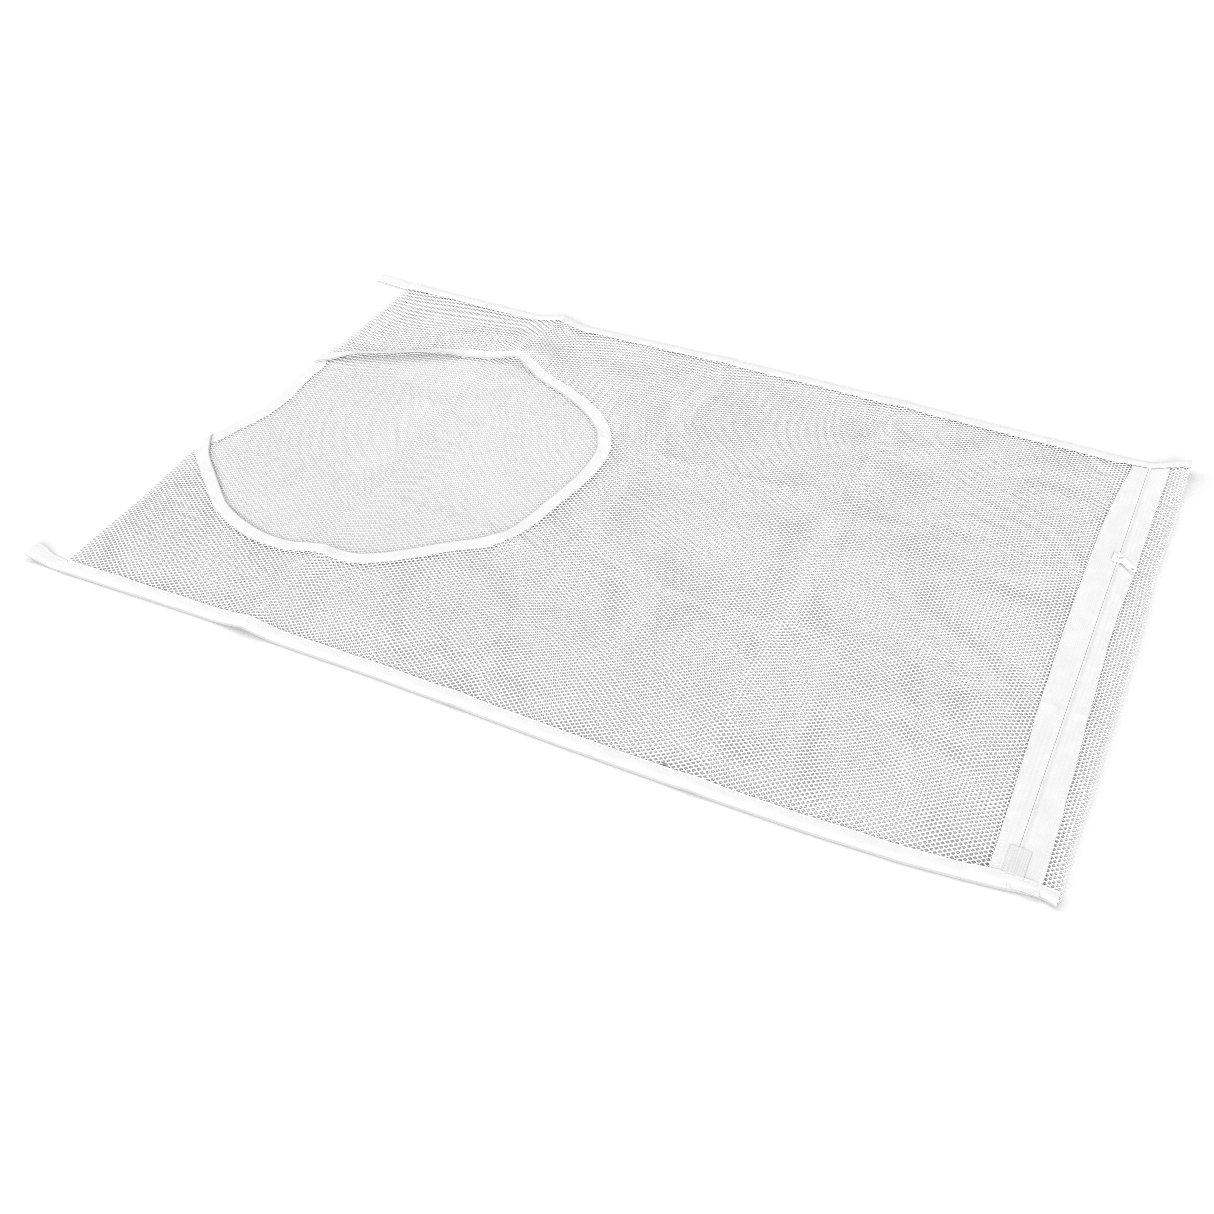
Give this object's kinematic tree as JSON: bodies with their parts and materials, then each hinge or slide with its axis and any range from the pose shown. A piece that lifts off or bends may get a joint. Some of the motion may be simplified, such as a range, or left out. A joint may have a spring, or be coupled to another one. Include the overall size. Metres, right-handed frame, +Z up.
{
  "type": "beekeeping net bag",
  "caption": "Flat white polyester net bag with taped sides, a round bound opening at one end and a zipper with slider, pull tab and end patch across the other.",
  "frame": {"origin": "on the surface the bag lies on, under the middle of the whole piece, tape tails included", "axes": "+X along the bag towards the zipper end, +Y across the bag towards the far side binding, +Z up"},
  "size_m": [0.838, 0.55, 0.0084],
  "materials": {
    "net": "white knitted polyester net with rounded hexagonal holes",
    "binding_tape": "white woven polyester tape, folded and sewn",
    "zipper_tape": "white fine woven zipper tape",
    "zipper_coil": "white nylon coil",
    "woven_patch": "light grey ribbed woven patch",
    "slider": "white lacquered die-cast zinc",
    "thread": "white polyester sewing thread"
  },
  "bodies": {
    "net_bag": {"front_net_panel": "net", "back_net_panel": "net", "zip_end_net_strip": "net", "near_side_binding": "binding_tape", "far_side_binding": "binding_tape", "opening_binding": "binding_tape", "zipper_tape_inner": "zipper_tape", "zipper_tape_outer": "zipper_tape", "zipper_coil_inner": "zipper_coil", "zipper_coil_outer": "zipper_coil", "zip_end_patch": "woven_patch", "near_binding_thread": "thread", "far_binding_thread": "thread", "opening_binding_thread": "thread", "zipper_inner_tape_thread": "thread", "zipper_outer_tape_thread": "thread", "end_patch_thread": "thread"},
    "slider": {"slider_body": "slider"},
    "pull_tab": {"slider_pull_tab": "slider"}
  },
  "joints": [
    {"name": "zip_slide", "type": "slide", "parent": "net_bag", "child": "slider", "axis": [0, -1, 0], "range_m": [-0.136, 0.336]},
    {"name": "pull_tab_swing", "type": "hinge", "parent": "slider", "child": "pull_tab", "pos_m": [0.389, 0.115, 0.0062], "axis": [-0.6691, -0.7431, 0], "range_deg": [0, 180]}
  ]
}
